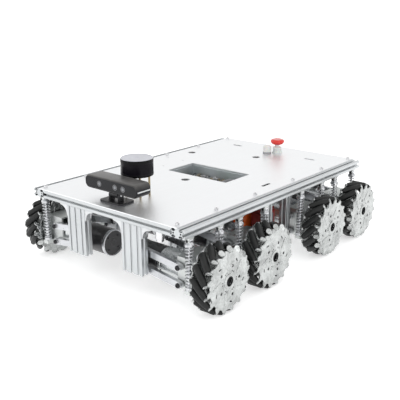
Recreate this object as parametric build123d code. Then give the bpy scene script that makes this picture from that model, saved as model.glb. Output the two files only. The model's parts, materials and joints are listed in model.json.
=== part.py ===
"""Eight-wheeled mecanum robot platform, in millimetres.

+X is forward, +Y is the robot's left, +Z is up. The origin is on the floor under the middle of the frame.
Every station (one wheel with its drive and suspension) is drawn for the left side with its axle at X = 0,
then moved to its axle, or turned half a turn about Z for the right side.
"""
import os
from math import atan2, cos, degrees, hypot, radians, sin, sqrt

from build123d import *

# Frame: aluminium T-slot extrusions under a flat deck.
LENGTH = 740.0
WIDTH = 484.0
PROFILE = 20.0  # width of one T-slot cell
RAIL_BOTTOM = 173.0
RAIL_TOP = RAIL_BOTTOM + PROFILE
DECK_THICK = 2.0
DECK_WIDE = 444.0  # the outer groove of each side rail stays open beside it
DECK_TOP = RAIL_TOP + DECK_THICK
POST_BOTTOM = 60.0
POST_WIDE = 3 * PROFILE
POST_Y = 90.0  # middle of each wide post, and of the inner link pivots
POST_X = (360.0, 212.0, 60.0, -60.0, -212.0, -360.0)
SIDE_POST_X = 40.0
SIDE_POST_BOTTOM = 75.0

# T-slot groove, seen in section.
SLOT_MOUTH = 6.2
SLOT_LIP = 1.8
SLOT_WIDE = 11.0
SLOT_FLOOR = 5.4
SLOT_SHOULDER = 3.3
SLOT_DEPTH = 6.1
CORE_HOLE_R = 2.1

# Wheels: sixteen barrel rollers between two stamped plates.
WHEEL_R = 76.0
AXLES = (296.0, 128.0, -128.0, -296.0)  # front to rear
TRACK_FACE = 300.0  # outer face of each wheel
WHEEL_WIDE = 55.0
WHEEL_Y = TRACK_FACE - WHEEL_WIDE / 2
ROLLERS = 16
ROLLER_R = 8.2
ROLLER_LONG = 50.0
ROLLER_ORBIT = WHEEL_R - ROLLER_R
ROLLER_PIN_R = 2.0
PLATE_THICK = 3.0
PLATE_RIM_R = 62.0
RELIEF = 1.2  # how far the hub boss and the pressed ribs stand out of a plate
HUB_BORE_R = 11.0
HUB_CORE_R = 17.0
SHAFT_R = 7.0
TAB_TIP_R = 72.0
TAB_ALONG = 27.5  # middle of a tab, along its roller's axis
RIBS = 5
RIB_R, RIB_LONG, RIB_WIDE = 40.0, 30.0, 7.0

# Suspension: two parallel links before and two behind each axle, and two coil-over shocks.
OUTER_PIVOT_Y = 202.0
UPPER_PIVOT_Z = 96.0
LOWER_PIVOT_Z = 56.0
LINK_RISE = 14.0  # how much higher the inner pivots are, with the wheel hanging at its stop
LINK_X = 45.0
LINK_THICK = 10.0
LINK_TALL = 15.0
PIVOT_R = 4.0
RUNNING_GAP = 0.06
OPEN_PIVOT_GAP = 0.3
BOLT_HEAD_R = 6.0
SHOCK_X = 49.0
SHOCK_Y = 233.0
SPRING_BOTTOM = 62.0
SPRING_TOP = 152.0
SPRING_R = 9.5
SPRING_WIRE_R = 1.1
SPRING_TURNS = 13
SPRING_FLATS = 8  # the wire is drawn with this many flats
DAMPER_TUBE_R, DAMPER_BORE_R, DAMPER_ROD_R = 6.5, 5.0, 3.0
DAMPER_TUBE_TOP, DAMPER_ROD_BOTTOM = 112.0, 84.0

# Drive units.
CHEEK_X = 33.5
CHEEK_THICK = 4.5
PLATE_IN_Y = 229.0
PLATE_OUT_Y = 241.0
CARRIER_BOTTOM = 46.0
CARRIER_TOP = 116.0
MOTOR_END_Y = 49.0
GEARBOX_Y = 126.0
MOTOR_R = 32.0
GEARBOX_R = 33.0

# Deck openings and what stands on the deck.
HATCH_X, HATCH_Y = 100.0, 192.0
CABLE_HOLE_R = 11.0
CABLE_GAP = 44.0
CABLE_HOLES = ((90.0, 0.0), (-214.0, 0.0), (-143.0, -179.0))
SLOTS = ((-302.0, -132.0, 90), (-287.0, 131.0, 90), (3.0, 183.0, 0))  # x, y, turn
SLOT_LONG, SLOT_HIGH = 34.0, 8.0
PAYLOAD_CENTRE = (-15.0, -164.0)
PAYLOAD_SPACING = (80.0, 56.0)
PAYLOAD_HOLE_R = 2.25
SCREW_X = (357.0, 232.0, 88.0, -72.0, -212.0, -357.0)
SCREW_Y = WIDTH / 2 - 1.5 * PROFILE
LIDAR_X, LIDAR_R = 257.0, 38.0
LIDAR_BOTTOM, LIDAR_TOP = 243.0, 284.0
TRAY_FLOOR = 150.0
STANDOFF_X, STANDOFF_Y = 15.0, 23.0
CAMERA_BACK, CAMERA_FRONT = 303.0, 348.0
CAMERA_WIDE, CAMERA_Y = 165.0, 6.0
CAMERA_BOTTOM, CAMERA_TOP = 221.0, 251.0
TILT_X, TILT_Z = 325.0, 212.0
TILT_PIN_R = 3.0
LENS_Y = (-29.0, 21.0, 46.0)
LENS_R, LENS_DEEP = 6.5, 4.0
ESTOP = (-297.0, 16.0)
ESTOP_R = 20.0
ESTOP_STEM_R = 7.0
ESTOP_BODY_TOP, ESTOP_CAP_BOTTOM, ESTOP_TOP = 213.0, 221.0, 235.0
BEACON = (-273.0, -3.0)
BEACON_R, BEACON_TOP = 12.0, 219.0


def box(x0, x1, y0, y1, z0, z1):
    """A box between three pairs of limits."""
    return Pos((x0 + x1) / 2, (y0 + y1) / 2, (z0 + z1) / 2) * Box(x1 - x0, y1 - y0, z1 - z0)


def rod_z(x, y, radius, z0, z1):
    return Pos(x, y, (z0 + z1) / 2) * Cylinder(radius, z1 - z0)


def rod_x(y, z, radius, x0, x1):
    return Pos((x0 + x1) / 2, y, z) * Rot(0, 90, 0) * Cylinder(radius, abs(x1 - x0))


def rod_y(x, z, radius, y0, y1):
    return Pos(x, (y0 + y1) / 2, z) * Rot(90, 0, 0) * Cylinder(radius, y1 - y0)


def write(name, solids):
    """Writes one node; a list is a group of separate solids."""
    shape = solids[0] if len(solids) == 1 else Compound(children=list(solids))
    export_step(shape, f"parts/{name}.step")


# Frame -----------------------------------------------------------------------

def groove():
    """One T-slot, its mouth on the X axis and its depth along -Y."""
    half = [
        (SLOT_MOUTH / 2, 0.1),
        (SLOT_MOUTH / 2, -SLOT_LIP),
        (SLOT_WIDE / 2, -SLOT_LIP),
        (SLOT_WIDE / 2, -SLOT_SHOULDER),
        (SLOT_FLOOR / 2, -SLOT_DEPTH),
    ]
    other = [(-x, y) for x, y in reversed(half)]
    return make_face(Polyline(*half, *other, close=True))


def extrusion(cells, length):
    """A T-slot profile `cells` wide along X and one cell high along Y, run along +Z."""
    wide = cells * PROFILE
    section = RectangleRounded(wide, PROFILE, 1.0)
    centres = [(i - (cells - 1) / 2) * PROFILE for i in range(cells)]
    for x in centres:
        section -= Pos(x, PROFILE / 2) * groove()
        section -= Pos(x, -PROFILE / 2) * Rot(0, 0, 180) * groove()
        section -= Pos(x, 0) * Circle(CORE_HOLE_R)
    section -= Pos(wide / 2, 0) * Rot(0, 0, -90) * groove()
    section -= Pos(-wide / 2, 0) * Rot(0, 0, 90) * groove()
    return extrude(section, amount=length)


def rails():
    """Two side rails, end rails, cross rails, and the short rails beside the hatch."""
    middle = (RAIL_BOTTOM + RAIL_TOP) / 2
    inside = WIDTH - 4 * PROFILE
    side = Pos(-LENGTH / 2, 0, middle) * Rot(0, 90, 0) * Rot(0, 0, 90) * extrusion(2, LENGTH)
    end = Pos(0, -inside / 2, middle) * Rot(-90, 0, 0) * extrusion(2, inside)
    cross = Pos(0, -inside / 2, middle) * Rot(-90, 0, 0) * extrusion(1, inside)
    reach = POST_X[2] - PROFILE / 2
    beside = Pos(-reach, 0, middle) * Rot(0, 90, 0) * extrusion(1, 2 * reach)
    found = []
    for turn in (1, -1):
        holes = [rod_z(x, turn * SCREW_Y, 2.5, RAIL_TOP - 7, RAIL_TOP + 1) for x in SCREW_X]
        found.append(Pos(0, turn * (WIDTH / 2 - PROFILE), 0) * side - holes)
        found.append(Pos(turn * (LENGTH / 2 - PROFILE), 0, 0) * end)
        found.append(Pos(0, turn * (HATCH_Y + PROFILE) / 2, 0) * beside)
    found += [Pos(x, 0, 0) * cross for x in POST_X[1:4]]
    # The last cross rail is in two halves, either side of the cables from the hole above it.
    half = (inside - CABLE_GAP) / 2
    for low in (-inside / 2, CABLE_GAP / 2):
        found.append(Pos(POST_X[4], low, middle) * Rot(-90, 0, 0) * extrusion(1, half))
    return found


def posts():
    """Wide posts that carry the links, and a slim post either side of the battery bay."""
    tall = RAIL_BOTTOM - POST_BOTTOM
    wide = Pos(0, 0, POST_BOTTOM) * Rot(0, 0, 90) * extrusion(3, tall)
    slim = Pos(0, 0, SIDE_POST_BOTTOM) * extrusion(1, RAIL_BOTTOM - SIDE_POST_BOTTOM)
    side_y = WIDTH / 2 - 1.5 * PROFILE
    found = [Pos(x, y, 0) * wide for x in POST_X for y in (POST_Y, -POST_Y)]
    found += [Pos(x, y, 0) * slim for x in (SIDE_POST_X, -SIDE_POST_X) for y in (side_y, -side_y)]
    return found


def gusset(leg=26.0, wide=17.0, wall=3.0):
    """A cast corner bracket: its legs lie on the planes X = 0 and Z = 0, under a rail and beside a post."""
    edge = Line((0, 0), (leg, 0)), Line((leg, 0), (leg, -wall)), Line((0, -leg), (0, 0))
    sweep = ThreePointArc((leg, -wall), (leg * 0.36, -leg * 0.36), (wall, -leg))
    foot = Line((wall, -leg), (0, -leg))
    web = make_face(Curve() + [edge[0], edge[1], sweep, foot, edge[2]])
    body = extrude(Plane.XZ * web, amount=wide / 2, both=True)
    pocket = box(wall, leg, -wide / 2 + wall, wide / 2 - wall, -leg, -wall)
    return body - pocket


def gussets():
    """A bracket on both sides of every wide post and one on each slim post."""
    piece = gusset()
    found = []
    for x in POST_X:
        for y in (POST_Y, -POST_Y):
            for turn in (90, -90):
                shift = POST_WIDE / 2 * (1 if turn > 0 else -1)
                found.append(Pos(x, y + shift, RAIL_BOTTOM) * Rot(0, 0, turn) * piece)
    small = gusset(18.0)
    for y in (WIDTH / 2 - 1.5 * PROFILE, -WIDTH / 2 + 1.5 * PROFILE):
        found.append(Pos(-SIDE_POST_X - PROFILE / 2, y, RAIL_BOTTOM) * Rot(0, 0, 180) * small)
        found.append(Pos(SIDE_POST_X + PROFILE / 2, y, RAIL_BOTTOM) * small)
    return found


def pivot_pins():
    """A headed stub from each post face through the inner eye of the link beside it."""
    found = []
    for axle in AXLES:
        for end in (1, -1):
            post = min((x for x in POST_X if (x - axle) * end > 0), key=lambda x: abs(x - axle))
            face = post - end * PROFILE / 2
            link_in = axle + end * (LINK_X - LINK_THICK / 2)
            for y in (POST_Y, -POST_Y):
                for z in (UPPER_PIVOT_Z + LINK_RISE, LOWER_PIVOT_Z + LINK_RISE):
                    low, high = sorted((link_in - end * 0.4, face))
                    shank = rod_x(y, z, PIVOT_R, low, high)
                    low, high = sorted((link_in - end * 3.4, link_in - end * 0.4))
                    found.append(shank + rod_x(y, z, BOLT_HEAD_R, low, high))
    return found


def payload_points():
    dx, dy = PAYLOAD_SPACING[0] / 2, PAYLOAD_SPACING[1] / 2
    return [(PAYLOAD_CENTRE[0] + i * dx, PAYLOAD_CENTRE[1] + j * dy) for i in (1, -1) for j in (1, -1)]


def deck_plate():
    outline = RectangleRounded(LENGTH, DECK_WIDE, 3.0)
    outline -= RectangleRounded(HATCH_X, HATCH_Y, 2.0)
    for x, y in CABLE_HOLES:
        outline -= Pos(x, y) * Circle(CABLE_HOLE_R)
    for x, y, turn in SLOTS:
        outline -= Pos(x, y) * Rot(0, 0, turn) * SlotOverall(SLOT_LONG, SLOT_HIGH)
    for x, y in payload_points():
        outline -= Pos(x, y) * Circle(PAYLOAD_HOLE_R)
    for x in SCREW_X:
        for y in (SCREW_Y, -SCREW_Y):
            outline -= Pos(x, y) * Circle(2.6)
    return Pos(0, 0, RAIL_TOP) * extrude(outline, amount=DECK_THICK)


def deck_fasteners():
    """Socket screws that hold the deck to the side rails, and the standoffs under the scanner."""
    head_high = 5.0
    screw = rod_z(0, 0, 2.5, RAIL_TOP - 6, DECK_TOP) + rod_z(0, 0, 4.5, DECK_TOP, DECK_TOP + head_high)
    top = Pos(0, 0, DECK_TOP + head_high)
    screw -= top * extrude(RegularPolygon(2.3, 6), amount=-3.0)
    found = [Pos(x, y, 0) * screw for x in SCREW_X for y in (SCREW_Y, -SCREW_Y)]
    for i in (1, -1):
        for j in (1, -1):
            place = Pos(LIDAR_X + i * STANDOFF_X, j * STANDOFF_Y, DECK_TOP)
            found.append(place * extrude(RegularPolygon(2.6, 6), amount=LIDAR_BOTTOM - DECK_TOP))
    return found


# Wheels ----------------------------------------------------------------------

def roller_frame(index):
    """Plane of a roller: X out from the wheel's axle, Z along the roller, on a wheel whose axle is Z."""
    turn = 360.0 * index / ROLLERS
    return Rot(0, 0, turn) * Pos(ROLLER_ORBIT, 0, 0) * Rot(-45, 0, 0)


def roller_radius(s):
    """Barrel radius at distance s from the roller's middle, so that all rollers lie on one cylinder."""
    return sqrt(WHEEL_R**2 - s**2 / 2) - ROLLER_ORBIT


def roller():
    half = ROLLER_LONG / 2
    tip = roller_radius(half) - 0.8
    barrel = Spline((tip + 0.8, -half + 1.2), (ROLLER_R, 0), (tip + 0.8, half - 1.2))
    bore = ROLLER_PIN_R + RUNNING_GAP
    outline = Curve() + [
        Line((bore, -half), (tip, -half)),
        Line((tip, -half), barrel @ 0),
        barrel,
        Line(barrel @ 1, (tip, half)),
        Line((tip, half), (bore, half)),
        Line((bore, half), (bore, -half)),
    ]
    return revolve(Plane.XZ * make_face(outline), Axis.Z)


def wheel_plate():
    """The outer plate: a disc with pressed ribs, and one folded tab for each roller's outer end."""
    face = WHEEL_WIDE / 2
    top = face - RELIEF
    plate = rod_z(0, 0, PLATE_RIM_R, top - PLATE_THICK, top) + rod_z(0, 0, HUB_CORE_R, top, face)
    # A tab's outline: across its roller's pin along X, and along the fold from the disc down past the pin.
    fold = TAB_ALONG - sqrt(2) * (top - PLATE_THICK / 2)
    root = PLATE_RIM_R - 6
    outline = make_face(Polyline(
        (root, fold), (TAB_TIP_R - 6, fold), (TAB_TIP_R - 1, fold + 5), (TAB_TIP_R, -1), (TAB_TIP_R, 3),
        (TAB_TIP_R - 3, 6), (root + 8, 6), (root + 4, 2), (root, -4), close=True,
    )) - Pos(ROLLER_ORBIT, 0) * Circle(ROLLER_PIN_R + RUNNING_GAP)
    tab = Pos(-ROLLER_ORBIT, 0, TAB_ALONG) * extrude(outline, amount=PLATE_THICK / 2, both=True)
    plate += [roller_frame(i) * tab for i in range(ROLLERS)]
    rib = extrude(Pos(RIB_R, 0) * Rot(0, 0, 24) * SlotOverall(RIB_LONG, RIB_WIDE), amount=RELIEF, taper=20)
    plate += [Rot(0, 0, 360 * i / RIBS) * Pos(0, 0, top) * rib for i in range(RIBS)]
    plate -= rod_z(0, 0, HUB_BORE_R, 0, face)
    cuts = []
    for i in range(6):
        for shift in (-7, 7):
            angle = radians(60 * i + shift)
            cuts.append(rod_z(22.5 * cos(angle), 22.5 * sin(angle), 1.7, 0, face))
    for i in range(RIBS):
        angle = radians(360 * i / RIBS + 36)
        cuts.append(rod_z(33 * cos(angle), 33 * sin(angle), 3.4, 0, face))
        slot = extrude(Pos(47, 0) * Rot(0, 0, 60) * SlotOverall(9, 3.4), amount=face)
        cuts.append(Rot(0, 0, 360 * i / RIBS + 24) * slot)
    return plate - cuts


def hub():
    """Two plates, the core between them, and the roller pins, on an axle along Z."""
    outer = wheel_plate()
    inner = Rot(180, 0, 0) * outer
    reach = WHEEL_WIDE / 2 - RELIEF - PLATE_THICK
    core = rod_z(0, 0, HUB_CORE_R, -reach, reach)
    core += rod_z(0, 0, 27.0, -reach, -reach + 5) + rod_z(0, 0, 27.0, reach - 5, reach)
    core -= rod_z(0, 0, HUB_BORE_R, reach - 12, reach)
    shaft_end = WHEEL_Y - PLATE_IN_Y - 1.5
    core += rod_z(0, 0, SHAFT_R, -shaft_end, -reach)
    pin = Pos(0, 0, 0) * Cylinder(ROLLER_PIN_R, 2 * (TAB_ALONG + 1))
    return [outer, inner, core] + [roller_frame(i) * pin for i in range(ROLLERS)]


def rollers():
    piece = roller()
    return [roller_frame(i) * piece for i in range(ROLLERS)]


# Drive units and suspension ------------------------------------------------------

def drive_unit():
    """Motor, gearbox and the folded carrier that joins them to the links, with the shocks' lower halves."""
    motor = rod_y(0, WHEEL_R, MOTOR_R, MOTOR_END_Y + 4, GEARBOX_Y)
    end_cap = rod_y(0, WHEEL_R, GEARBOX_R, MOTOR_END_Y - 4, MOTOR_END_Y + 4)
    end_cap -= rod_y(0, WHEEL_R, GEARBOX_R - 3, MOTOR_END_Y - 4, MOTOR_END_Y - 1)
    gearbox = rod_y(0, WHEEL_R, GEARBOX_R, GEARBOX_Y, PLATE_IN_Y)
    inner = OUTER_PIVOT_Y - 12
    edge = CHEEK_X + CHEEK_THICK
    roof_bottom = CARRIER_TOP - 4
    carrier = box(-edge, edge, PLATE_IN_Y, PLATE_OUT_Y, CARRIER_BOTTOM, CARRIER_TOP)
    carrier += box(-edge, edge, inner, PLATE_IN_Y, roof_bottom, CARRIER_TOP)
    for end in (1, -1):
        low, high = sorted((end * CHEEK_X, end * edge))
        carrier += box(low, high, inner, PLATE_IN_Y, CARRIER_BOTTOM, roof_bottom)
        low, high = sorted((end * edge, end * (SHOCK_X + 9)))
        carrier += box(low, high, PLATE_OUT_Y - 16, PLATE_OUT_Y, CARRIER_BOTTOM, CARRIER_BOTTOM + 8)
    carrier -= rod_y(0, WHEEL_R, SHAFT_R + RUNNING_GAP, PLATE_IN_Y, PLATE_OUT_Y)
    found = [motor, end_cap, gearbox, carrier]
    for end in (1, -1):
        for z in (UPPER_PIVOT_Z, LOWER_PIVOT_Z):
            outside = LINK_X + LINK_THICK / 2 + 0.5
            low, high = sorted((end * edge, end * outside))
            shank = rod_x(OUTER_PIVOT_Y, z, PIVOT_R, low, high)
            low, high = sorted((end * outside, end * (outside + 5)))
            found.append(shank + rod_x(OUTER_PIVOT_Y, z, BOLT_HEAD_R, low, high))
        found.append(shock_tube(end * SHOCK_X))
    return found


def shock_tube(x):
    """The damper's lower half: a spring cup on the carrier's lug and the tube that the rod slides in."""
    seat = CARRIER_BOTTOM + 8
    tube = rod_z(x, SHOCK_Y, SPRING_R, seat, SPRING_BOTTOM)
    tube += rod_z(x, SHOCK_Y, DAMPER_TUBE_R, SPRING_BOTTOM, DAMPER_TUBE_TOP)
    return tube - rod_z(x, SHOCK_Y, DAMPER_BORE_R, SPRING_BOTTOM, DAMPER_TUBE_TOP)


def shock_rod(x):
    """The damper's upper half: a bracket on the rail, its eye, the spring collar and the rod."""
    bracket = box(x - 8, x + 8, SHOCK_Y - 7, SHOCK_Y + 7, RAIL_BOTTOM - 4, RAIL_BOTTOM)
    eye = rod_x(SHOCK_Y, RAIL_BOTTOM - 9, 6.0, x - 5, x + 5)
    collar = rod_z(x, SHOCK_Y, SPRING_R + 1, SPRING_TOP, RAIL_BOTTOM - 12)
    return bracket + eye + collar + rod_z(x, SHOCK_Y, DAMPER_ROD_R, DAMPER_ROD_BOTTOM, SPRING_TOP)


def spring(x):
    """A coil spring between the cup and the collar, its ends closed on them."""
    pitch = (SPRING_TOP - SPRING_BOTTOM - 2 * SPRING_WIRE_R) / SPRING_TURNS
    radius = SPRING_R - SPRING_WIRE_R
    path = Helix(pitch, pitch * SPRING_TURNS, radius)
    section = Plane(path @ 0, z_dir=path % 0) * RegularPolygon(SPRING_WIRE_R, SPRING_FLATS)
    wire = sweep(section, path, is_frenet=True)
    return Pos(x, SHOCK_Y, SPRING_BOTTOM + SPRING_WIRE_R) * wire


def links(outer_z, outer_gap):
    """The front and rear link of one level, each with an eye at both ends."""
    run = OUTER_PIVOT_Y - POST_Y
    tilt = degrees(atan2(-LINK_RISE, run))
    bar = SlotCenterToCenter(hypot(run, LINK_RISE), LINK_TALL)
    middle = Pos(0, (POST_Y + OUTER_PIVOT_Y) / 2, outer_z + LINK_RISE / 2)
    found = []
    for end in (1, -1):
        flat = extrude(Plane.YZ * Rot(0, 0, tilt) * bar, amount=LINK_THICK / 2, both=True)
        link = Pos(end * LINK_X, 0, 0) * middle * flat
        low, high = sorted((end * (LINK_X - LINK_THICK), end * (LINK_X + LINK_THICK)))
        link -= rod_x(POST_Y, outer_z + LINK_RISE, PIVOT_R + RUNNING_GAP, low, high)
        link -= rod_x(OUTER_PIVOT_Y, outer_z, PIVOT_R + outer_gap, low, high)
        found.append(link)
    return found


# Inside and on the deck --------------------------------------------------------

def electronics_tray(wall=2.0, floor=TRAY_FLOOR, rim=190.0):
    x, y = HATCH_X / 2, HATCH_Y / 2
    tray = box(-x, x, -y, y, floor - wall, rim)
    return tray - box(-x + wall, x - wall, -y + wall, y - wall, floor, rim)


def control_electronics(floor=TRAY_FLOOR):
    """The main board and its modules in the tray, and the power module beside the battery."""
    board = box(-42, 42, -84, 30, floor + 4, floor + 5.6)
    heat_sink = box(-30, 10, -70, -30, floor + 5.6, floor + 17.6)
    heat_sink -= [box(-30, 10, y, y + 3, floor + 8.6, floor + 17.6) for y in range(-67, -33, 6)]
    plugs = [box(24, 36, y, y + 12, floor + 5.6, floor + 16) for y in range(-78, 18, 18)]
    computer = box(-40, 40, 38, 88, floor, floor + 26)
    feet = [rod_z(x, y, 3, floor, floor + 4) for x in (-36, 36) for y in (-78, 24)]
    power = box(-28, 28, 158, 194, SIDE_POST_BOTTOM, 140)
    return [board, heat_sink, computer, power, *plugs, *feet]


def battery_pack():
    pack = box(-44, 44, -150, 150, SIDE_POST_BOTTOM, 127)
    return fillet(pack.edges(), 5.0)


def belly_plate():
    y = WIDTH / 2 - PROFILE
    return box(-50, 50, -y, y, SIDE_POST_BOTTOM - 3, SIDE_POST_BOTTOM)


def charge_socket(x=350.0, y=157.0):
    body = rod_z(x, y, 10, 152, RAIL_BOTTOM) + rod_z(x, y, 8, 146, 152)
    return body - rod_z(x, y, 6, 146, 160)


def lidar_housing(wall=2.5):
    body = rod_z(LIDAR_X, 0, LIDAR_R, LIDAR_BOTTOM, LIDAR_TOP)
    body = fillet(body.edges().filter_by(GeomType.CIRCLE).sort_by(Axis.Z)[-1], 2.0)
    cavity = rod_z(LIDAR_X, 0, LIDAR_R - wall, LIDAR_BOTTOM + wall, LIDAR_TOP - wall)
    spindle = rod_z(LIDAR_X, 0, 4.0, LIDAR_BOTTOM + wall, LIDAR_BOTTOM + 22)
    return body - cavity + spindle


def lidar_rotor():
    rotor = rod_z(LIDAR_X, 0, 30, LIDAR_BOTTOM + 6, LIDAR_BOTTOM + 14)
    rotor += rod_z(LIDAR_X, 0, 12, LIDAR_BOTTOM + 14, LIDAR_BOTTOM + 30)
    rotor += box(LIDAR_X, LIDAR_X + 22, -12, 12, LIDAR_BOTTOM + 14, LIDAR_BOTTOM + 30)
    return rotor - rod_z(LIDAR_X, 0, 4.0 + RUNNING_GAP, LIDAR_BOTTOM, LIDAR_BOTTOM + 24)


def camera_body():
    """The depth camera with its tilt tongue and pin, and three lens windows as separate solids."""
    half = CAMERA_WIDE / 2
    shell = box(CAMERA_BACK, CAMERA_FRONT, CAMERA_Y - half, CAMERA_Y + half, CAMERA_BOTTOM, CAMERA_TOP)
    shell = fillet(shell.edges().filter_by(Axis.X), 9.0)
    tongue = box(TILT_X - 8, TILT_X + 8, -11.5, 11.5, TILT_Z, CAMERA_BOTTOM)
    tongue += rod_y(TILT_X, TILT_Z, 8, -11.5, 11.5)
    shell = shell + tongue + rod_y(TILT_X, TILT_Z, TILT_PIN_R, -17, 17)
    centre = (CAMERA_BOTTOM + CAMERA_TOP) / 2
    back = CAMERA_FRONT - LENS_DEEP
    lenses = [rod_x(y, centre, LENS_R, back, CAMERA_FRONT) for y in LENS_Y]
    windows = [rod_x(y, centre, LENS_R, back, CAMERA_FRONT - 0.5) for y in LENS_Y]
    return [shell - lenses, *windows]


def camera_bracket():
    base = fillet(box(300, 346, -34, 34, DECK_TOP, DECK_TOP + 4).edges().filter_by(Axis.Z), 6.0)
    for end in (1, -1):
        low, high = sorted((end * 12, end * 17))
        base += box(TILT_X - 7, TILT_X + 7, low, high, DECK_TOP + 4, TILT_Z)
        base += rod_y(TILT_X, TILT_Z, 6, low, high)
    return base - rod_y(TILT_X, TILT_Z, TILT_PIN_R + RUNNING_GAP, -20, 20)


def estop_base():
    x, y = ESTOP
    flange_top = DECK_TOP + 3
    collar = rod_z(x, y, 15, DECK_TOP, flange_top) + rod_z(x, y, 12, flange_top, ESTOP_BODY_TOP)
    return collar - rod_z(x, y, ESTOP_STEM_R + RUNNING_GAP, flange_top, ESTOP_BODY_TOP)


def estop_head():
    x, y = ESTOP
    low, high, edge = ESTOP_CAP_BOTTOM, ESTOP_TOP, ESTOP_R
    half = [(0, low), (edge - 5, low), (edge, low + 6), (edge, high - 4), (edge - 3, high), (0, high)]
    cap = make_face(Polyline(*half, close=True))
    head = Pos(x, y, 0) * revolve(Plane.XZ * cap, Axis.Z)
    return head + rod_z(x, y, ESTOP_STEM_R, ESTOP_BODY_TOP - 8, low)


def beacon():
    x, y = BEACON
    body = rod_z(x, y, BEACON_R, DECK_TOP, BEACON_TOP)
    return fillet(body.edges().filter_by(GeomType.CIRCLE).sort_by(Axis.Z)[-1], 3.0)


# Nodes -----------------------------------------------------------------------

def stations():
    """Every wheel station: its name, its axle's place, and its turn about Z."""
    for side, turn in (("left", 0), ("right", 180)):
        for number, axle in enumerate(AXLES, 1):
            yield f"{side}_{number}", Pos(axle, 0, 0) * Rot(0, 0, turn), axle * (1 if turn == 0 else -1)


def main():
    os.makedirs("parts", exist_ok=True)
    upright = Pos(0, WHEEL_Y, WHEEL_R) * Rot(-90, 0, 0)
    # Rollers lean one way on left-front and right-rear wheels, and the other way on the rest.
    lean_forward = [upright * s for s in hub()], [upright * s for s in rollers()]
    mirrored = [[s.mirror(Plane.YZ) for s in group] for group in lean_forward]
    drive = drive_unit()
    upper = links(UPPER_PIVOT_Z, OPEN_PIVOT_GAP)
    lower = links(LOWER_PIVOT_Z, RUNNING_GAP)
    for name, place, lean in stations():
        hub_solids, roller_solids = lean_forward if lean > 0 else mirrored
        write(f"hub_{name}", [place * s for s in hub_solids])
        write(f"rollers_{name}", [place * s for s in roller_solids])
        write(f"drive_unit_{name}", [place * s for s in drive])
        write(f"upper_links_{name}", [place * s for s in upper])
        write(f"lower_links_{name}", [place * s for s in lower])
    ends = [(place, end) for _, place, _ in stations() for end in (1, -1)]
    write("shock_rods", [place * shock_rod(end * SHOCK_X) for place, end in ends])
    write("shock_springs", [place * spring(end * SHOCK_X) for place, end in ends])
    write("frame_rails", rails())
    write("frame_posts", posts())
    write("gussets", gussets())
    write("pivot_pins", pivot_pins())
    write("deck_plate", [deck_plate()])
    write("deck_fasteners", deck_fasteners())
    write("electronics_tray", [electronics_tray()])
    write("control_electronics", control_electronics())
    write("battery_pack", [battery_pack()])
    write("belly_plate", [belly_plate()])
    write("charge_socket", [charge_socket()])
    write("lidar_housing", [lidar_housing()])
    write("lidar_rotor", [lidar_rotor()])
    write("camera_body", camera_body())
    write("camera_bracket", [camera_bracket()])
    write("estop_base", [estop_base()])
    write("estop_head", [estop_head()])
    write("beacon", [beacon()])


main()
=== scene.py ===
"""Looks of the eight-wheeled mecanum platform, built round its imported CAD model.

Lengths in the shape-making code are millimetres in the model's frame (+X forward, +Y left, +Z up),
turned into metres when a piece is made.
"""

import json
import random
from math import cos, pi, radians, sin, sqrt

import bmesh
import bpy
from mathutils import Matrix, Vector


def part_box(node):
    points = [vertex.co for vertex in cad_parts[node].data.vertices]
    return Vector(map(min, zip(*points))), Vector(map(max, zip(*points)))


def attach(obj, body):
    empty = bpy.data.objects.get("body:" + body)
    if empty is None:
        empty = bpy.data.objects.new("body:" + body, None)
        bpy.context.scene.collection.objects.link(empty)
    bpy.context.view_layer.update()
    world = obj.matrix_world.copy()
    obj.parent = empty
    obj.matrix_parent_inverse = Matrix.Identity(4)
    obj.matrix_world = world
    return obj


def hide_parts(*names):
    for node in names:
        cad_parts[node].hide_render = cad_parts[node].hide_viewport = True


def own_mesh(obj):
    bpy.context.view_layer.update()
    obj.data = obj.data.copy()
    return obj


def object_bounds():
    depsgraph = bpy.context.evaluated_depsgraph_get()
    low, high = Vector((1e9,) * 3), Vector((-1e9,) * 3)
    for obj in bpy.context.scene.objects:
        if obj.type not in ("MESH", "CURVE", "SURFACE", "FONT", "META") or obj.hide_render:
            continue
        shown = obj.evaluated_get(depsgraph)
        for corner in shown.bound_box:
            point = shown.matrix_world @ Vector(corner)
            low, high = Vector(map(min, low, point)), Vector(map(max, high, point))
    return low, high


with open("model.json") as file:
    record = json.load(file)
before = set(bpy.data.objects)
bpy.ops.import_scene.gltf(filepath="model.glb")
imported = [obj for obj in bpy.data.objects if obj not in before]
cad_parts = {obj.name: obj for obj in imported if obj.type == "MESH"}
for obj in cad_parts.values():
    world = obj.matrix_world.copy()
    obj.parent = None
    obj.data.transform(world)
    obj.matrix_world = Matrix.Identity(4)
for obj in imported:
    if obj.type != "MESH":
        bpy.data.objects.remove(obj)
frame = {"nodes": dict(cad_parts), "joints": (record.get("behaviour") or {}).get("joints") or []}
CAD_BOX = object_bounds()
STATIONS = [f"{side}_{number}" for side in ("left", "right") for number in (1, 2, 3, 4)]
TO_METRES, TO_MM = 0.001, 1000
PIECE_WELD, CAD_WELD = 1e-7, 1e-6  # metres within which two points are one

# Measures that several pieces share, in millimetres: the wheel and its rollers, then, in a station's own
# frame, where the gearbox meets the motor, the links' inner pivots and the two dampers' axes.
WHEEL_R = 76.0
ROLLER_COUNT, ROLLER_ORBIT, ROLLER_HALF = 16, 67.8, 25.0
GEARBOX_BACK = 126
PIVOT_Y, PIVOTS_Z = 202, (96, 56)
SHOCKS_X, SHOCK_Y = (49, -49), 233

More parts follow.
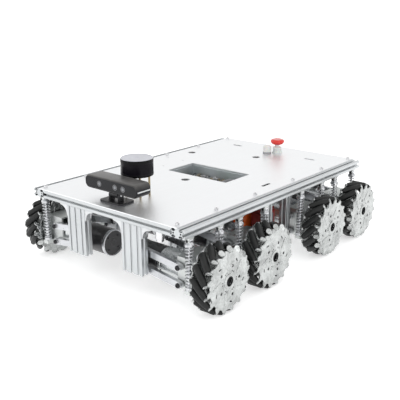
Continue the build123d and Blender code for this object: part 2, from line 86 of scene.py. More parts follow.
# Shared by every finish: the parts of the blotches and the grain in its tone, the noise levels between which
# the tone and the roughness run, how strongly edges are rubbed and the grain breaks the rubbing up.
BROAD_SHARE, FINE_SHARE = 0.62, 0.38
TONE_RANGE, ROUGH_RANGE = (0.36, 0.64), (0.35, 0.65)
EDGE_GAIN, BREAK_GAIN = 7.0, 1.7
WORN_METAL = (0.93, 0.94, 0.95)
# Pale tone for upward faces: dust, and where it is mixed in strongly, painted light that makes a top lighter.
DUST_AND_TOP_LIGHT_TONE = (0.62, 0.60, 0.57, 1.0)


# Finishes ------------------------------------------------------------------------

def surface(name, tone, rough, metallic=0.0, worn=None, vary=0.10, blotch=22.0, grain=800.0, bump=0.15,
            depth=0.0002, streak=(1, 1, 1), spread=0.08, edge=0.0006, wear=0.5, dust_and_top_light=0.0, sockets=None):
    """A finish with a blotchy tone, grain in its roughness and bump, rubbed edges, and a pale tone on upward
    faces: dust, and where it is strong a painted lighter top standing for light from above.
    """
    material = bpy.data.materials.new(name)
    material.use_nodes = True
    tree = material.node_tree
    shader = tree.nodes["Principled BSDF"]

    def node(kind, inputs=(), **settings):
        made = tree.nodes.new(kind)
        for key, value in settings.items():
            setattr(made, key, value)
        for key, value in dict(inputs).items():
            if isinstance(value, bpy.types.NodeSocket):
                tree.links.new(value, made.inputs[key])
            else:
                made.inputs[key].default_value = value
        return made

    def maths(operation, first, second, clamp=False):
        made = node("ShaderNodeMath", {0: first, 1: second}, operation=operation)
        made.use_clamp = clamp
        return made.outputs[0]

    def mixed(share, first, second):
        made = node("ShaderNodeMix", data_type="RGBA")
        for socket, value in zip((made.inputs[0], made.inputs[6], made.inputs[7]), (share, first, second)):
            if isinstance(value, bpy.types.NodeSocket):
                tree.links.new(value, socket)
            else:
                socket.default_value = value
        return made.outputs[2]

    place = node("ShaderNodeTexCoord").outputs["Object"]
    drawn = node("ShaderNodeMapping", {"Vector": place, "Scale": streak}).outputs[0]
    broad = node("ShaderNodeTexNoise", {"Vector": place, "Scale": blotch, "Detail": 4.0,
                                        "Roughness": 0.6}).outputs[0]
    fine = node("ShaderNodeTexNoise", {"Vector": drawn, "Scale": grain, "Detail": 3.0,
                                       "Roughness": 0.65}).outputs[0]
    low = tuple(min(1.0, c * (1 - vary)) for c in tone) + (1.0,)
    high = tuple(min(1.0, c * (1 + vary * 0.8)) for c in tone) + (1.0,)
    both = maths("ADD", maths("MULTIPLY", broad, BROAD_SHARE), maths("MULTIPLY", fine, FINE_SHARE))
    ramp = node("ShaderNodeValToRGB", {"Fac": both})
    for stop, position, tint in zip(ramp.color_ramp.elements, TONE_RANGE, (low, high)):
        stop.position, stop.color = position, tint
    colour = ramp.outputs[0]
    rounded = node("ShaderNodeBevel", {"Radius": edge}, samples=4).outputs[0]
    facing = node("ShaderNodeNewGeometry").outputs["Normal"]
    lined_up = node("ShaderNodeVectorMath", {0: rounded, 1: facing}, operation="DOT_PRODUCT").outputs["Value"]
    rubbed = maths("MULTIPLY", maths("SUBTRACT", 1.0, lined_up), EDGE_GAIN, True)
    rubbed = maths("MULTIPLY", maths("MULTIPLY", rubbed, wear), maths("MULTIPLY", fine, BREAK_GAIN, True))
    worn_tone = tuple(worn or [min(1.0, c * 1.35 + 0.03) for c in tone]) + (1.0,)
    colour = mixed(rubbed, colour, worn_tone)
    # Upward faces lean towards the pale tone: dust, and where the setting is high (camera shell) a painted
    # highlight on the top.
    if dust_and_top_light:
        upward = maths("MULTIPLY", node("ShaderNodeSeparateXYZ", {0: facing}).outputs["Z"], dust_and_top_light, True)
        colour = mixed(maths("MULTIPLY", upward, broad), colour, DUST_AND_TOP_LIGHT_TONE)
    tree.links.new(colour, shader.inputs["Base Color"])
    value = node("ShaderNodeMapRange", {"Value": both, 1: ROUGH_RANGE[0], 2: ROUGH_RANGE[1],
                                        3: max(0.04, rough - spread), 4: min(1.0, rough + spread)}).outputs[0]
    tree.links.new(value, shader.inputs["Roughness"])
    relief = node("ShaderNodeBump", {"Strength": bump, "Distance": depth, "Height": fine, "Normal": rounded})
    tree.links.new(relief.outputs[0], shader.inputs["Normal"])
    shader.inputs["Metallic"].default_value = metallic
    for key, setting in (sockets or {}).items():
        shader.inputs[key].default_value = setting
    return material


def finishes():
    """Every finish, by name; the ones named after a material slot also dress the CAD nodes of that slot."""
    metal = dict(metallic=1.0, worn=WORN_METAL)
    looks = {
        "deck": dict(tone=(0.87, 0.88, 0.89), rough=0.42, vary=0.035, blotch=5.0, grain=260.0, bump=0.10,
                     streak=(0.03, 1, 1), spread=0.06, depth=0.00008, wear=0.3, **metal),
        "extrusion": dict(tone=(0.54, 0.56, 0.57), rough=0.34, vary=0.09, blotch=9.0, grain=420.0,
                          bump=0.14, streak=(1, 1, 0.05), depth=0.00008, **metal),
        "wheel_plate": dict(tone=(0.47, 0.485, 0.48), rough=0.24, vary=0.38, blotch=30.0, grain=150.0,
                            bump=0.6, spread=0.16, depth=0.0005, wear=0.8, **metal),
        "roller_rubber": dict(tone=(0.010, 0.011, 0.011), rough=0.48, worn=(0.07, 0.07, 0.07), vary=0.35,
                              blotch=60.0, grain=1400.0, bump=0.35, spread=0.10, edge=0.0008, wear=0.6,
                              dust_and_top_light=0.03, sockets={"Specular IOR Level": 0.3}),
        "roller_core": dict(tone=(0.10, 0.10, 0.11), rough=0.42, vary=0.2, bump=0.1),
        "carrier": dict(tone=(0.64, 0.66, 0.65), rough=0.46, vary=0.10, blotch=26.0, grain=1500.0, bump=0.4,
                        depth=0.00015, wear=0.7, **metal),
        "link": dict(tone=(0.58, 0.59, 0.61), rough=0.32, vary=0.10, blotch=40.0, grain=900.0, bump=0.2,
                     streak=(1, 0.06, 1), **metal),
        "cast_bracket": dict(tone=(0.66, 0.67, 0.68), rough=0.48, vary=0.12, blotch=60.0, grain=1300.0,
                             bump=0.55, depth=0.0003, **metal),
        "gear_case": dict(tone=(0.68, 0.70, 0.70), rough=0.28, vary=0.10, blotch=34.0, grain=700.0,
                          bump=0.2, streak=(1, 0.08, 1), **metal),
        "motor_paint": dict(tone=(0.018, 0.018, 0.020), rough=0.33, worn=(0.20, 0.20, 0.21), vary=0.3,
                            blotch=40.0, grain=1100.0, bump=0.2, dust_and_top_light=0.08, sockets={"Coat Weight": 0.25}),
        "steel_bolt": dict(tone=(0.72, 0.72, 0.73), rough=0.25, vary=0.08, blotch=90.0, bump=0.1, **metal),
        "black_bolt": dict(tone=(0.030, 0.030, 0.033), rough=0.38, metallic=0.6, worn=(0.33, 0.33, 0.34),
                           vary=0.3, blotch=120.0, grain=1500.0, bump=0.25, edge=0.0004, wear=0.6),
        "spring_steel": dict(tone=(0.62, 0.63, 0.65), rough=0.24, vary=0.14, blotch=120.0, grain=1600.0,
                             bump=0.15, edge=0.0002, **metal),
        "shock_alloy": dict(tone=(0.62, 0.63, 0.65), rough=0.27, vary=0.08, blotch=60.0, grain=900.0,
                            bump=0.15, **metal),
        "chrome_rod": dict(tone=(0.80, 0.80, 0.81), rough=0.12, vary=0.04, blotch=60.0, spread=0.04,
                           bump=0.05, **metal),
        "brass": dict(tone=(0.36, 0.29, 0.18), rough=0.30, metallic=1.0, worn=(0.85, 0.68, 0.40), vary=0.12,
                      blotch=90.0, bump=0.1),
        "battery_wrap": dict(tone=(0.92, 0.15, 0.02), rough=0.30, worn=(0.85, 0.20, 0.06), vary=0.16,
                             blotch=45.0, grain=190.0, bump=0.5, depth=0.0008, spread=0.07,
                             sockets={"Coat Weight": 0.4, "Coat Roughness": 0.18}),
        "module_red": dict(tone=(0.22, 0.016, 0.012), rough=0.36, worn=(0.42, 0.09, 0.07), vary=0.2,
                           blotch=50.0, bump=0.2, sockets={"Coat Weight": 0.2}),
        "board_green": dict(tone=(0.020, 0.11, 0.055), rough=0.32, vary=0.3, blotch=160.0, grain=600.0,
                            bump=0.25, sockets={"Coat Weight": 0.5, "Coat Roughness": 0.12}),
        "electronics": dict(tone=(0.17, 0.17, 0.18), rough=0.42, vary=0.2, blotch=70.0, bump=0.2, dust_and_top_light=0.1),
        "terminal_green": dict(tone=(0.05, 0.30, 0.10), rough=0.40, vary=0.15, bump=0.15),
        "sheet_metal": dict(tone=(0.66, 0.69, 0.71), rough=0.48, vary=0.10, blotch=16.0, grain=900.0,
                            bump=0.2, **metal),
        "black_plastic": dict(tone=(0.014, 0.014, 0.016), rough=0.44, worn=(0.08, 0.08, 0.09), vary=0.2,
                              blotch=40.0, grain=2200.0, bump=0.4, depth=0.00015, dust_and_top_light=0.04),
        # Its high dust setting mostly paints the top of the shell lighter, a painted highlight for the light
        # from above; only a little of it is dust.
        "camera_shell": dict(tone=(0.010, 0.010, 0.012), rough=0.34, worn=(0.07, 0.07, 0.09), vary=0.15,
                             blotch=24.0, grain=2600.0, bump=0.3, depth=0.0001, dust_and_top_light=0.30,
                             sockets={"Specular IOR Level": 0.25}),
        "panel_black": dict(tone=(0.010, 0.011, 0.013), rough=0.22, vary=0.2, spread=0.05, bump=0.04,
                            sockets={"Specular IOR Level": 0.2}),
        "lens_glass": dict(tone=(0.10, 0.11, 0.125), rough=0.16, vary=0.1, spread=0.02, bump=0.01,
                           sockets={"Coat Weight": 1.0, "Coat Roughness": 0.02, "IOR": 1.7}),
        "scanner_black": dict(tone=(0.006, 0.006, 0.007), rough=0.34, worn=(0.06, 0.06, 0.07), vary=0.2,
                              blotch=30.0, grain=1700.0, bump=0.2, dust_and_top_light=0.01,
                              sockets={"Specular IOR Level": 0.1}),
        "scanner_top": dict(tone=(0.52, 0.53, 0.58), rough=0.36, vary=0.14, blotch=26.0, grain=1100.0,
                            streak=(1, 0.08, 1), bump=0.2, dust_and_top_light=0.12),
        "scanner_window": dict(tone=(0.006, 0.005, 0.008), rough=0.24, vary=0.2, spread=0.05, bump=0.03,
                               sockets={"Specular IOR Level": 0.1}),
        "estop_red": dict(tone=(0.66, 0.020, 0.010), rough=0.30, worn=(0.80, 0.20, 0.15), vary=0.10,
                          blotch=40.0, grain=1500.0, bump=0.12, sockets={"Coat Weight": 0.35}),
        "pale_plastic": dict(tone=(0.74, 0.74, 0.72), rough=0.36, vary=0.06, blotch=50.0, grain=1500.0,
                             bump=0.12, sockets={"Subsurface Weight": 0.15}),
        "grey_plastic": dict(tone=(0.34, 0.34, 0.35), rough=0.42, vary=0.08, blotch=50.0, bump=0.15),
    }
    return {name: surface(name, **look) for name, look in looks.items()}


FINISH = finishes()


# Shape kit -----------------------------------------------------------------------

def circle(radius, level, sides=32):
    return [(radius * cos(2 * pi * i / sides), radius * sin(2 * pi * i / sides), level) for i in range(sides)]


def hexagon(radius, level, sides=24):
    """A hexagon's outline with as many points as the circles it is joined to."""
    points = []
    for i in range(sides):
        angle = 2 * pi * i / sides
        reach = radius * cos(pi / 6) / cos(angle % (pi / 3) - pi / 6)
        points.append((reach * cos(angle), reach * sin(angle), level))
    return points


def rounded(wide, high, radius, level, steps=6):
    """A rounded rectangle round the origin, at height `level`."""
    points = []
    for turn, (x, y) in enumerate(((1, 1), (-1, 1), (-1, -1), (1, -1))):
        for i in range(steps + 1):
            angle = pi / 2 * (turn + i / steps)
            points.append((x * (wide / 2 - radius) + radius * cos(angle),
                           y * (high / 2 - radius) + radius * sin(angle), level))
    return points


class Form:
    """Faces gathered in millimetres, each with the number of its finish, then made into one piece."""

    def __init__(self):
        self.points, self.faces, self.marks = [], [], []

    def loft(self, rings, place=Matrix(), mark=0, caps=True, around=False):
        """Skin through rings of equal length; `around` joins the last ring to the first."""
        start, count = len(self.points), len(rings[0])
        for ring in rings:
            self.points += [place @ Vector(p) for p in ring]
        pairs = len(rings) if around else len(rings) - 1
        for r in range(pairs):
            a, b = start + r * count, start + (r + 1) % len(rings) * count
            for i in range(count):
                j = (i + 1) % count
                self.faces.append((a + i, a + j, b + j, b + i))
                self.marks.append(mark)
        if caps and not around:
            for first in (start, start + pairs * count):
                self.faces.append(tuple(first + i for i in range(count)))
                self.marks.append(mark)

    def lathe(self, profile, place=Matrix(), mark=0, sides=40, around=False, caps=True):
        """A profile of (radius, level) points turned about local Z."""
        self.loft([circle(max(r, 0.01), z, sides) for r, z in profile], place, mark, caps, around)

    def slab(self, low, high, mark=0, radius=1.0, chamfer=0.4, place=Matrix()):
        """A box with rounded upright corners and chamfered rims."""
        size = [h - l for l, h in zip(low, high)]
        radius = min(radius, size[0] / 2.1, size[1] / 2.1)
        chamfer = min(chamfer, size[2] / 3, radius * 0.8)
        centre = Matrix.Translation([(l + h) / 2 for l, h in zip(low, high)])
        half = size[2] / 2
        inset = [(chamfer, -half), (0, -half + chamfer), (0, half - chamfer), (chamfer, half)]
        self.loft([rounded(size[0] - 2 * c, size[1] - 2 * c, radius - c, z, 3) for c, z in inset],
                  place @ centre, mark)

    def screw(self, place, radius, high, mark=0):
        """A round button head with a hexagon socket, standing on local Z = 0."""
        crown = ((1, 0), (1, 0.3), (0.93, 0.66), (0.74, 0.93), (0.6, 1))
        rings = [circle(radius * share, high * level, 24) for share, level in crown]
        rings += [hexagon(radius * 0.46, high), hexagon(radius * 0.46, high * 0.35)]
        self.loft(rings, place, mark)

    def wire(self, path, radius, mark=0, sides=10):
        """A round wire along a smooth path."""
        rings = []
        for i, point in enumerate(path):
            ahead = (Vector(path[min(i + 1, len(path) - 1)]) - Vector(path[max(i - 1, 0)])).normalized()
            side = ahead.cross(Vector((0, 0, 1)))
            side = side.normalized() if side.length > 1e-6 else Vector((1, 0, 0))
            up = side.cross(ahead)
            rings.append([Vector(point) + radius * (cos(a) * side + sin(a) * up)
                          for a in (2 * pi * k / sides for k in range(sides))])
        self.loft(rings, mark=mark)

    def piece(self, name, body, finish_names, replaced=(), slot=None, sharp=32):
        """Makes the faces into a piece with its finishes in the order named; `slot` is not used."""
        mesh = bpy.data.meshes.new(name)
        mesh.from_pydata([p * TO_METRES for p in self.points], [], self.faces)
        for finish in finish_names:
            mesh.materials.append(FINISH[finish])
        mesh.polygons.foreach_set("material_index", self.marks)
        work = bmesh.new()
        work.from_mesh(mesh)
        bmesh.ops.remove_doubles(work, verts=work.verts, dist=PIECE_WELD)
        bmesh.ops.recalc_face_normals(work, faces=work.faces)
        work.to_mesh(mesh)
        work.free()
        return show(mesh, name, body, replaced, sharp)


def show(mesh, name, body, replaced, sharp=32):
    """Makes a mesh into a piece that rides on a body and stands for the CAD nodes named."""
    mesh.polygons.foreach_set("use_smooth", [True] * len(mesh.polygons))
    mesh.set_sharp_from_angle(angle=radians(sharp))
    piece = bpy.data.objects.new(name, mesh)
    bpy.context.scene.collection.objects.link(piece)
    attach(piece, body)
    if replaced:
        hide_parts(*replaced)
    return piece


def corners(node):
    """Lowest and highest corner of a CAD node, in millimetres."""
    low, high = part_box(node)
    return Vector(low) * TO_MM, Vector(high) * TO_MM


def shells(node):
    """The separate solids of a CAD node, each as its points, its faces and its box, in millimetres."""
    work = bmesh.new()
    work.from_mesh(frame["nodes"][node].data)
    bmesh.ops.remove_doubles(work, verts=work.verts, dist=CAD_WELD)
    work.verts.ensure_lookup_table()
    seen, found = set(), []
    for first in work.verts:
        if first.index in seen:
            continue
        seen.add(first.index)
        group, queue = [], [first]
        while queue:
            vert = queue.pop()
            group.append(vert)
            for linked in vert.link_edges:
                other = linked.other_vert(vert)
                if other.index not in seen:
                    seen.add(other.index)
                    queue.append(other)
        index = {v.index: i for i, v in enumerate(group)}
        points = [v.co * TO_MM for v in group]
        faces = {f for v in group for f in v.link_faces}
        faces = [tuple(index[v.index] for v in f.verts) for f in sorted(faces, key=lambda f: f.index)]
        low = Vector([min(p[i] for p in points) for i in range(3)])
        high = Vector([max(p[i] for p in points) for i in range(3)])
        found.append((points, faces, low, high))
    work.free()
    return found


def copied(name, node, body, finish, chosen, slot=None):
    """A piece with the shape of some of a node's solids: those whose box passes `chosen`."""
    form = Form()
    for points, faces, low, high in shells(node):
        if chosen(low, high):
            start = len(form.points)
            form.points += points
            form.faces += [tuple(start + i for i in f) for f in faces]
            form.marks += [0] * len(faces)
    return form.piece(name, body, [finish], [node], slot)


ALONG_X = Matrix.Rotation(pi / 2, 4, "Y")
ALONG_Y = Matrix.Rotation(-pi / 2, 4, "X")


def shift(x, y, z):
    return Matrix.Translation((x, y, z))


# Wheels --------------------------------------------------------------------------

def wheel_frame(station):
    """A wheel's own frame: Z out along its axle, mirrored where its rollers lean the other way."""
    low, high = corners(f"rollers_{station}")
    centre = (low + high) / 2
    out = 1 if centre.y > 0 else -1
    mirror = Matrix() if centre.x * out > 0 else Matrix.Scale(-1, 4, (1, 0, 0))
    return Matrix.Translation(centre) @ Matrix.Rotation(0 if out > 0 else pi, 4, "Z") @ mirror @ ALONG_Y


def roller_places(station):
    """Each roller's own frame: Z along the roller, X out from the axle."""
    wheel = wheel_frame(station)
    for i in range(ROLLER_COUNT):
        turned = wheel @ Matrix.Rotation(2 * pi * i / ROLLER_COUNT, 4, "Z")
        yield turned @ shift(ROLLER_ORBIT, 0, 0) @ Matrix.Rotation(-pi / 4, 4, "X")


def rollers(station, steps=8):
    """Moulded rubber barrels with a shoulder at each end, on nylon cores."""
    half, end = ROLLER_HALF, ROLLER_HALF - 1.3
    levels = [end - i * end / steps for i in range(2 * steps + 1)]
    barrel = [(sqrt(WHEEL_R**2 - s * s / 2) - ROLLER_ORBIT, s) for s in levels]
    tip, bore = barrel[0][0], 3.9
    sleeve = [(bore, half - 0.7), (tip - 1.1, half - 0.7), (tip - 0.35, half - 0.95)] + barrel
    sleeve += [(tip - 0.35, 0.95 - half), (tip - 1.1, 0.7 - half), (bore, 0.7 - half)]
    core = [(2.1, half), (3.5, half), (bore, half - 0.3), (bore, 0.3 - half), (3.5, -half), (2.1, -half)]
    form = Form()
    for place in roller_places(station):
        form.lathe(sleeve, place, 0, 28, around=True)
        form.lathe(core, place, 1, 20, around=True)
    form.piece(f"rollers_{station}_rubber", f"wheel_{station}", ["roller_rubber", "roller_core"],
               [f"rollers_{station}"])


def rim_webs(station, inner=23.4, outer=26.2):
    """A small tooth beside each of the rim's folded tabs, at both ends of every roller."""
    outline = ((60.5, 1.0), (62.0, 1.5), (66.5, 5.5), (68.6, 9.0), (69.2, 12.0), (68.8, 14.2), (60.5, 14.2))
    form = Form()
    for place in roller_places(station):
        for turn in (Matrix(), Matrix.Rotation(pi, 4, "X")):
            rings = [[(reach - ROLLER_ORBIT, (along - level) * sqrt(0.5), (along + level) * sqrt(0.5))
                      for reach, along in outline] for level in (inner, outer)]
            form.loft(rings, place @ turn)
    form.piece(f"rim_webs_{station}", f"wheel_{station}", ["wheel_plate"])


def hub_screw(station, face=16.9):
    """The washer and the screw that hold a wheel on its shaft."""
    wheel = wheel_frame(station)
    form = Form()
    form.lathe([(0, 12), (10.7, 12), (10.7, 16.4), (10.2, face), (6.4, face), (0, face)], wheel, 0, 40)
    form.screw(wheel @ shift(0, 0, face), 5.6, 5.0, 0)
    form.piece(f"hub_screw_{station}", f"wheel_{station}", ["black_bolt"])


# Drive units and suspension ------------------------------------------------------

def station_frame(station):
    """A station's own frame: origin on the floor under its axle on the centre line, Y outwards."""
    low, high = corners(f"rollers_{station}")
    turn = 0 if low.y > 0 else pi
    return shift((low.x + high.x) / 2, 0, 0) @ Matrix.Rotation(turn, 4, "Z")


def axle_frame(station):
    """Z outwards along the station's axle, from the centre line."""
    return station_frame(station) @ shift(0, 0, WHEEL_R) @ ALONG_Y


def motor(station, back=53, front=GEARBOX_BACK):
    """The motor's can, with an alloy end cap that holds a black plate and four screws."""
    axis = axle_frame(station)
    can = [(0, back), (31.4, back), (31.4, 56), (32, 56.6), (32, 84), (31.6, 84.4), (31.6, 86), (32, 86.4),
           (32, 119), (31.3, 119.8), (31.3, front), (0, front)]
    cap = [(29.4, 48), (30, 47.4), (30, 45.7), (30.7, 45), (32.3, 45), (33, 45.7), (33, 52.4), (32.4, back),
           (29.4, back)]
    plate = [(0, 48.3), (6, 48.3), (6.6, 47.7), (8.4, 47.7), (9, 48.3), (26, 48.3), (29.4, 47.9), (29.4, 52),
             (0, 52)]
    form = Form()
    form.lathe(can, axis, 0, 64)
    form.lathe(cap, axis, 1, 64, around=True)
    form.lathe(plate, axis, 0, 64)
    for i in range(4):
        turn = Matrix.Rotation(pi / 4 + i * pi / 2, 4, "Z")
        form.screw(axis @ turn @ shift(21, 0, 48.3) @ Matrix.Rotation(pi, 4, "X"), 2.6, 1.8, 2)
    form.piece(f"motor_{station}", f"drive_{station}", ["motor_paint", "shock_alloy", "black_bolt"],
               [f"drive_unit_{station}"], "black_plastic")


def gearbox(station, back=GEARBOX_BACK, flange=132, front=229):
    """The stepped gearbox case, with six screws on its back flange."""
    axis = axle_frame(station)
    case = [(0, back), (32.4, back), (33, 126.6), (33, 131.4), (32.4, flange), (32, flange), (32, 154),
            (31.4, 154.5), (31.4, 155.5), (32, 156), (32, 177), (32.4, 177), (33, 177.6), (33, 183.4),
            (32.4, 184), (32, 184), (32, 222), (32.4, 222), (33, 222.6), (33, front), (0, front)]
    form = Form()
    form.lathe(case, axis, 0, 64)
    for i in range(6):
        turn = Matrix.Rotation(i * pi / 3 + 0.3, 4, "Z")
        place = axis @ turn @ shift(30.6, 0, 0)
        form.lathe([(2.2, flange), (2.2, 134.6), (1.8, 135), (0, 135)], place, 1, 14)
    form.piece(f"gearbox_{station}", f"drive_{station}", ["gear_case", "black_bolt"],
               [f"drive_unit_{station}"], "shock_alloy")


def is_carrier(low, high):
    """Tells the carrier plate from a drive unit's other solids: tall, wide and out by the wheel."""
    return high.z - low.z > 69 and abs(high.y) + abs(low.y) > 400 and high.x - low.x > 100


def link_bolts(station, ear=37.9, shank_end=50.5, washer_end=51.3):
    """The bolts in the carrier's four ears, on which the links swing."""
    here = station_frame(station)
    form = Form()
    for end in (1, -1):
        facing = ALONG_X if end > 0 else Matrix.Rotation(-pi / 2, 4, "Y")
        for z in PIVOTS_Z:
            pivot = here @ shift(0, PIVOT_Y, z) @ facing
            form.lathe([(4, ear), (4, shank_end), (0, shank_end)], pivot, 1, 20)
            form.lathe([(6, shank_end), (6, washer_end), (0, washer_end)], pivot, 1, 24)
            form.screw(here @ shift(end * washer_end, PIVOT_Y, z) @ facing, 5.8, 4.2, 0)
    form.piece(f"link_bolts_{station}", f"drive_{station}", ["black_bolt", "steel_bolt"],
               [f"drive_unit_{station}"])


def damper_tubes(station):
    """The dampers' lower halves: a spring seat and an open tube each, on the carrier."""
    here = station_frame(station)
    profile = [(0, 54), (8.8, 54), (9.5, 54.7), (9.5, 56.6), (8.9, 57.1), (8.9, 58.2), (9.5, 58.7),
               (9.5, 61.3), (8.8, 61.9), (5.4, 61.9), (5.4, 66), (5.2, 66.5), (5.2, 107), (5.4, 107.4),
               (5.4, 111.4), (5.1, 112), (4.8, 112), (4.8, 62.2), (0, 62.2)]
    form = Form()
    for x in SHOCKS_X:
        form.lathe(profile, here @ shift(x, SHOCK_Y, 0), 0, 36)
    form.piece(f"damper_tubes_{station}", f"drive_{station}", ["shock_alloy"], [f"drive_unit_{station}"])


def coil_rise(turn, turns, flat=0.8, climb=0.03):
    """How far up a coil has come after `turn` turns, 0 to 1: the end turns lie flat but for a small climb."""
    if turn < flat:
        return climb * turn / flat
    if turn < turns - flat:
        return climb + (1 - 2 * climb) * (turn - flat) / (turns - 2 * flat)
    return 1 - climb + climb * (turn - turns + flat) / flat


def springs(station, radius=8.4, wire=1.1, turns=13, low=62.0, high=152.0, steps=26):
    """Two coil springs whose end turns lie flat."""
    here = station_frame(station)
    form = Form()
    bottom, top = low + wire, high - wire
    for x in SHOCKS_X:
        path = []
        for i in range(turns * steps + 1):
            share = i / (turns * steps)
            angle = 2 * pi * share * turns
            level = bottom + (top - bottom) * coil_rise(share * turns, turns)
            path.append(here @ Vector((x + radius * cos(angle), SHOCK_Y + radius * sin(angle), level)))
        form.wire(path, wire)
    made = form.piece(f"springs_{station}", "chassis", ["spring_steel"], ["shock_springs"], sharp=80)
    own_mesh(made)


def shock_tops(pin_z=164, seat=152):
    """The dampers' upper halves, fixed under the rails: a clevis, an eye on a pin, a spring seat, a rod."""
    cup = [(3, 84.6), (3, seat), (9.9, seat), (10.5, 152.6), (10.5, 154.6), (9.8, 155.2), (9.8, 156.4),
           (9, 157.2), (6.2, 160.6), (5, 161), (0, 161)]
    rod = [(0, 84), (2.5, 84), (3, 84.6), (3, 151.9), (0, 151.9)]
    brackets, shafts = Form(), Form()
    for station in STATIONS:
        here = station_frame(station)
        for x in SHOCKS_X:
            brackets.slab((x - 8, 226, 169), (x + 8, 240, 173), 0, 2.0, 0.6, here)
            for side in (-1, 1):
                cheek = x + side * 6.4
                brackets.slab((cheek - 1.2, 228, 160.5), (cheek + 1.2, 238, 169.2), 0, 0.6, 0.3, here)
            eye = here @ shift(x, SHOCK_Y, pin_z) @ ALONG_X
            brackets.lathe([(0, -5), (5.4, -5), (6, -4.4), (6, 4.4), (5.4, 5), (0, 5)], eye, 1, 28)
            brackets.screw(here @ shift(x + 7.6, SHOCK_Y, pin_z) @ ALONG_X, 3.2, 1.6, 2)
            place = here @ shift(x, SHOCK_Y, 0)
            shafts.lathe(cup, place, 0, 36)
            shafts.lathe(rod, place, 1, 24)
    brackets.piece("shock_brackets", "chassis", ["carrier", "shock_alloy", "black_bolt"], ["shock_rods"],
                   "shock_alloy")
    shafts.piece("damper_shafts", "chassis", ["shock_alloy", "chrome_rod"], ["shock_rods"])


# On the deck ---------------------------------------------------------------------

def camera_lenses(shell, lens_places, place_of, front):
    """Three barrels with domed glass; `place_of` gives a lens's frame from its offset along the bar."""
    barrel = [(0, front - 3), (6.5, front - 3), (6.5, front - 0.3), (6.1, front), (5.5, front),
              (5.0, front - 0.6), (4.8, front - 1.2), (0, front - 1.2)]
    glass = [(4.8, front - 1.3), (4.3, front - 0.8), (3.0, front - 0.4), (1.5, front - 0.25),
             (0, front - 0.2)]
    for y in lens_places:
        shell.lathe(barrel, place_of(y), 2, 36)
        shell.lathe(glass, place_of(y), 3, 36)


def depth_camera(tongue_high=17, tongue_half=11.5, pin_half=17):
    """Rounded bar camera with a black front panel, three lenses, vents, end stripes and a tilt tongue."""
    low, high = corners("camera_body")
    bottom, front, back = low.z + tongue_high, high.x, low.x
    wide, tall = high.y - low.y, high.z - bottom
    middle_y, middle_z = (low.y + high.y) / 2, (high.z + bottom) / 2
    place = shift(0, middle_y, middle_z) @ ALONG_X @ Matrix.Rotation(pi / 2, 4, "Z")
    shell = Form()
    steps = [(3.0, back), (1.2, back + 0.5), (0.3, back + 1.6), (0, back + 3), (0, front - 4),
             (0.4, front - 2), (1.4, front - 0.6), (2.4, front), (3.2, front), (3.6, front - 0.9)]
    shell.loft([rounded(wide - 0.6 - 2 * c, tall - 2 * c, 12 - c * 0.8, x, 8) for c, x in steps], place, 0)
    shell.loft([rounded(wide - 8, tall - 8, 8.5, x, 8) for x in (front - 3, front - 0.7)], place, 1)
    camera_lenses(shell, (-35.0, 15.0, 40.0), lambda y: shift(0, middle_y + y, middle_z) @ ALONG_X, front)
    for i in range(9):
        y = middle_y - 24 + i * 6.0
        shell.slab((back + 6, y, high.z - 0.25), (back + 30, y + 2.2, high.z - 0.02), 4, 1.0, 0.05)
    for inner, outer in ((high.y - 0.8, high.y), (low.y, low.y + 0.8)):
        shell.slab((back + 3, inner, middle_z - 2.6), (front - 4, outer, middle_z + 0.4), 5, 0.2, 0.05)
    tilt = next(joint for joint in frame["joints"] if joint["name"] == "camera_tilt")
    tilt_x, tilt_z = tilt["pos_m"][0] * TO_MM, tilt["pos_m"][2] * TO_MM
    hinge = shift(tilt_x, 0, tilt_z) @ ALONG_Y
    shell.slab((tilt_x - 8, -tongue_half, tilt_z), (tilt_x + 8, tongue_half, bottom + 1), 4, 1.0, 0.4)
    shell.lathe([(0, -tongue_half), (7.5, -tongue_half), (8, -11), (8, 11), (7.5, tongue_half),
                 (0, tongue_half)], hinge, 4, 40)
    shell.lathe([(0, -pin_half), (3, -pin_half), (3, pin_half), (0, pin_half)], hinge, 6, 24)
    shell.piece("camera_shell", "depth_camera",
                ["camera_shell", "panel_black", "electronics", "lens_glass", "black_plastic", "pale_plastic",
                 "steel_bolt"], ["camera_body"], "black_plastic")


def scanner(sides=96):
    """The laser scanner: a black foot, a dark window band, a black cap and its dished top."""
    low, high = corners("lidar_housing")
    place = shift((low.x + high.x) / 2, 0, 0)
    base, top, r = low.z, high.z, (high.x - low.x) / 2
    foot = [(0, base), (r - 2.4, base), (r - 0.6, base + 0.8), (r, base + 2.4), (r, base + 6.4),
            (r - 0.4, base + 6.8), (0, base + 6.8)]
    window = [(r - 0.25, base + 6.6), (r - 0.25, top - 9.6)]
    cap = [(0, top - 9.8), (r - 0.4, top - 9.8), (r, top - 9.4), (r, top - 2.2), (r - 0.4, top - 1.2)]
    dish = [(r - 0.4, top - 1.2), (r - 0.8, top - 0.6), (r - 2, top), (r - 3.4, top), (r - 3.8, top - 0.5),
            (6.2, top - 0.5), (5.8, top - 0.1), (4.4, top - 0.1), (4, top - 0.6), (0, top - 0.6)]
    form = Form()
    form.lathe(foot, place, 0, sides)
    for profile, mark in ((window, 1), (cap, 0), (dish, 2)):
        form.lathe(profile, place, mark, sides, caps=False)
    form.piece("scanner_case", "chassis", ["scanner_black", "scanner_window", "scanner_top"],
               ["lidar_housing"])


